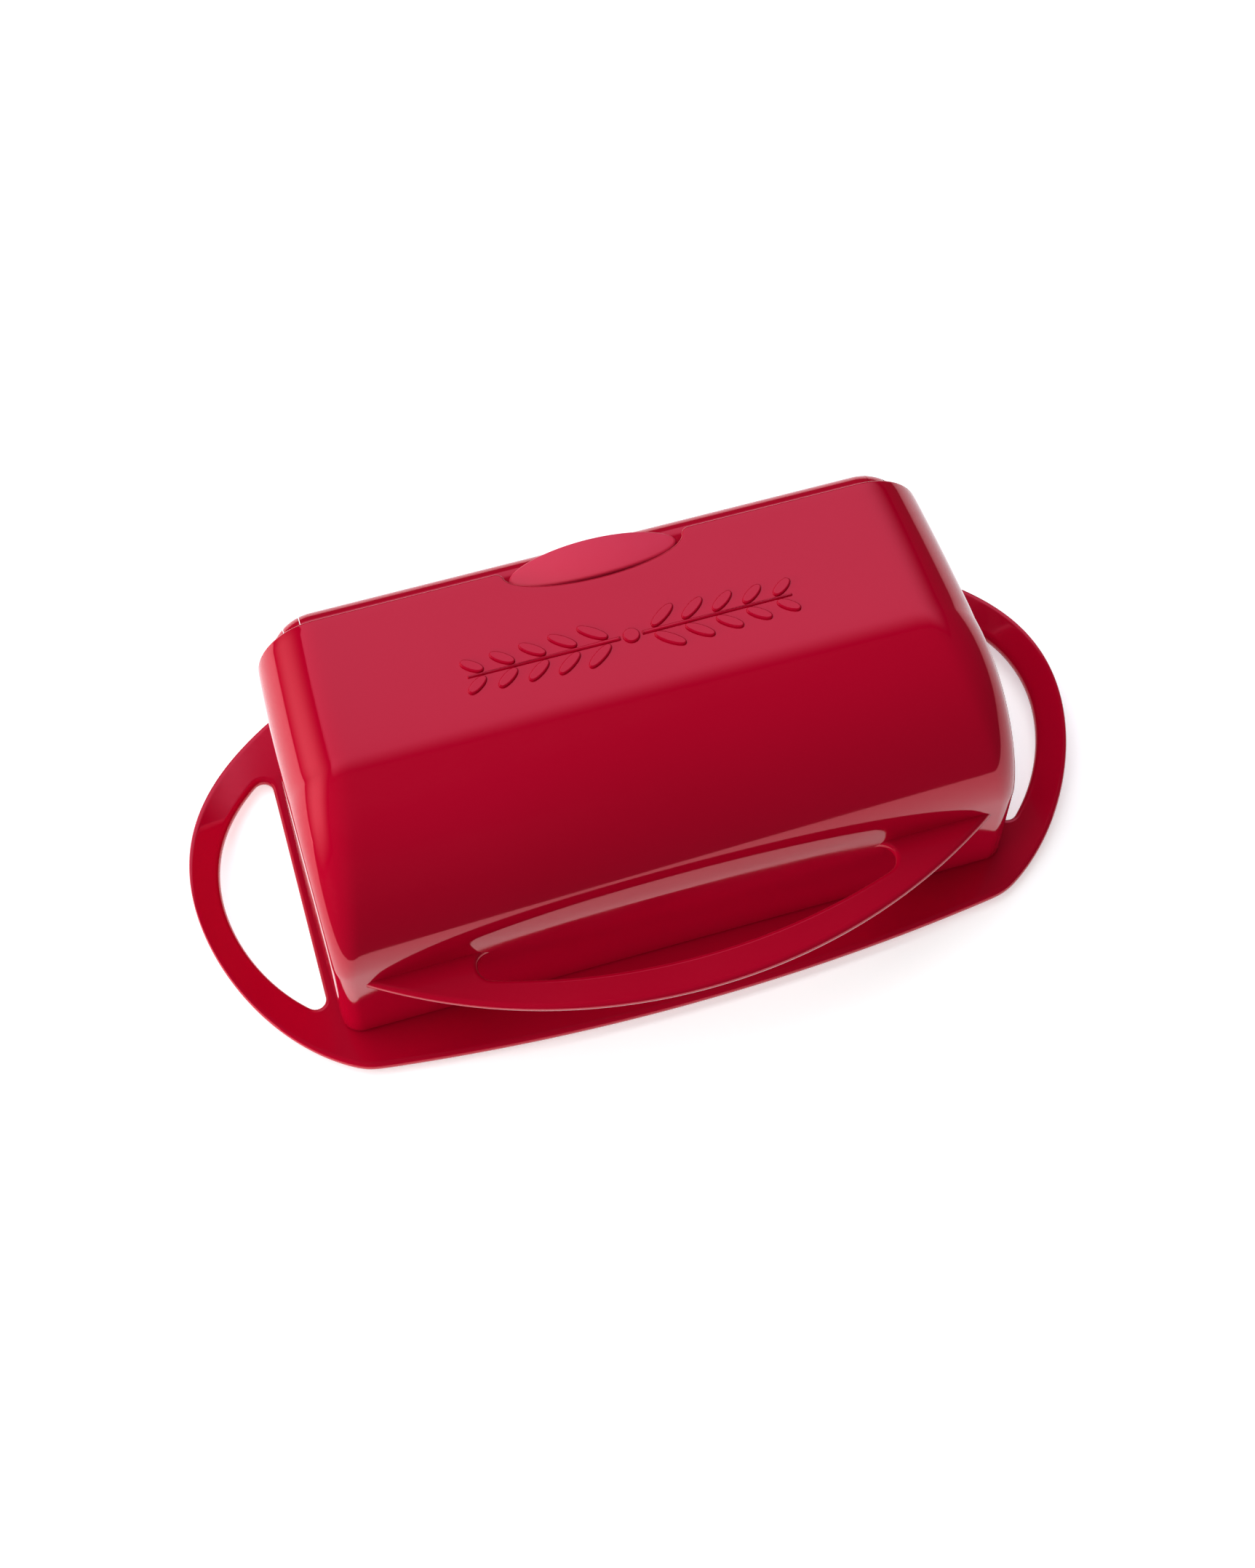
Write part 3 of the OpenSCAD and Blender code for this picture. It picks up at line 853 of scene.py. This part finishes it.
def floor():
    """A pale sheet that lies flat and rolls over the front edge of the table."""
    material, tree, shader, place_at = graph("floor_white")
    tree.links.new(shade(tree, noise(tree, place_at, 3.0), ((0.88, 0.88, 0.88), (0.9, 0.9, 0.9))),
                   shader.inputs["Base Color"])
    shader.inputs["Roughness"].default_value = 0.6
    shader.inputs["Specular IOR Level"].default_value = 0.2
    shader.inputs["Emission Color"].default_value = (0.94, 1.0, 1.0, 1)
    shader.inputs["Emission Strength"].default_value = 0.43
    edge, radius, fall = -0.122, 0.006, math.radians(50)
    bend = [(edge - radius * math.sin(t), radius * math.cos(t) - radius) for t in np.linspace(0, fall, 8)]
    last_y, last_z = bend[-1]
    line = [(3.0, 0.0), *bend, (last_y - 0.2, last_z - 0.2 * math.tan(fall))]
    half = 2.2
    c, s = math.cos(camera_turn), math.sin(camera_turn)
    points = [(x * c + y * s, -x * s + y * c, z) for y, z in line for x in (-half, half)]
    mesh = bpy.data.meshes.new("floor")
    mesh.from_pydata(points, [], [(2 * k, 2 * k + 1, 2 * k + 3, 2 * k + 2) for k in range(len(line) - 1)])
    mesh.shade_smooth()
    mesh.materials.append(material)
    thing = bpy.data.objects.new("floor", mesh)
    bpy.context.scene.collection.objects.link(thing)


def window(name, spot, target, size, radiance, colour, soft):
    """A glowing panel whose light fades towards its edges."""
    material = bpy.data.materials.new(name)
    material.use_nodes = True
    tree = material.node_tree
    tree.nodes.clear()
    where = tree.nodes.new("ShaderNodeTexCoord").outputs["Generated"]
    axes = tree.nodes.new("ShaderNodeSeparateXYZ")
    tree.links.new(where, axes.inputs["Vector"])
    strength = radiance
    for axis, (near, off) in zip("XY", soft):
        for reverse, width in ((False, near), (True, off)):
            ramp = tree.nodes.new("ShaderNodeMapRange")
            ramp.interpolation_type = "SMOOTHSTEP"
            ramp.inputs["From Min"].default_value = 1.0 if reverse else 0.0
            ramp.inputs["From Max"].default_value = 1.0 - width if reverse else width
            tree.links.new(axes.outputs[axis], ramp.inputs["Value"])
            times = tree.nodes.new("ShaderNodeMath")
            times.operation = "MULTIPLY"
            tree.links.new(ramp.outputs["Result"], times.inputs[0])
            if isinstance(strength, float):
                times.inputs[1].default_value = strength
            else:
                tree.links.new(strength, times.inputs[1])
            strength = times.outputs["Value"]
    glow = tree.nodes.new("ShaderNodeEmission")
    glow.inputs["Color"].default_value = (*colour, 1)
    tree.links.new(strength, glow.inputs["Strength"])
    output = tree.nodes.new("ShaderNodeOutputMaterial")
    tree.links.new(glow.outputs["Emission"], output.inputs["Surface"])
    w, h = size[0] / 2, size[1] / 2
    mesh = bpy.data.meshes.new(name)
    mesh.from_pydata([(-w, -h, 0), (w, -h, 0), (w, h, 0), (-w, h, 0)], [], [(0, 1, 2, 3)])
    mesh.materials.append(material)
    thing = bpy.data.objects.new(name, mesh)
    stand(thing, spot, target)


def softbox(name, spot, target, size, radiance):
    """An area light that reflections don't show."""
    light = bpy.data.lights.new(name, "AREA")
    light.shape = "RECTANGLE"
    light.size, light.size_y = size
    light.energy = radiance * math.pi * size[0] * size[1]
    thing = bpy.data.objects.new(name, light)
    stand(thing, spot, target)
    thing.visible_glossy = False


floor()
window("window_back", (0.3, 1.4, 1.42), (0.0, 0.0, 0.03), (3.0, 1.6), 1.28, (1.0, 0.86, 1.24),
       ((0.4, 0.1), (0.2, 0.42)))
window("window_left", (-1.0, 0.42, 0.45), (0.0, 0.0, 0.05), (1.6, 1.0), 1.6, (1.0, 0.97, 1.0),
       ((0.45, 0.45), (0.45, 0.45)))
softbox("fill_top", (-0.5, 0.35, 1.5), (0.0, 0.0, 0.0), (1.6, 1.6), 3.2)
softbox("fill_front", (-0.5, -1.3, 0.9), (0.0, 0.0, 0.04), (1.4, 1.0), 1.7)
softbox("fill_left", (-1.1, -0.2, 0.14), (-0.09, 0.0, 0.035), (1.0, 0.45), 8.0)

world = bpy.data.worlds.new("studio")
world.use_nodes = True
world.node_tree.nodes["Background"].inputs["Color"].default_value = (0.07, 0.07, 0.07, 1)
bpy.context.scene.world = world
bpy.context.scene.view_settings.view_transform = "Standard"


# --- camera -----------------------------------------------------------------------

lens = bpy.data.cameras.new("camera")
lens.sensor_width = 36.0
lens.sensor_fit = "AUTO"
lens.lens = 50.71
lens.clip_start, lens.clip_end = 0.01, 20.0
camera = bpy.data.objects.new("camera", lens)
bpy.context.scene.collection.objects.link(camera)
rise_angle = math.radians(63.2045)
away = Vector((-math.sin(camera_turn) * math.cos(rise_angle),
               -math.cos(camera_turn) * math.cos(rise_angle), math.sin(rise_angle)))
aim = Vector((0.154, 10.49, 2.5)) * MM
distance = 582.5
camera.location = aim + away * distance * MM
camera.rotation_mode = "QUATERNION"
camera.rotation_quaternion = (-away).to_track_quat("-Z", "Y")
bpy.context.scene.camera = camera
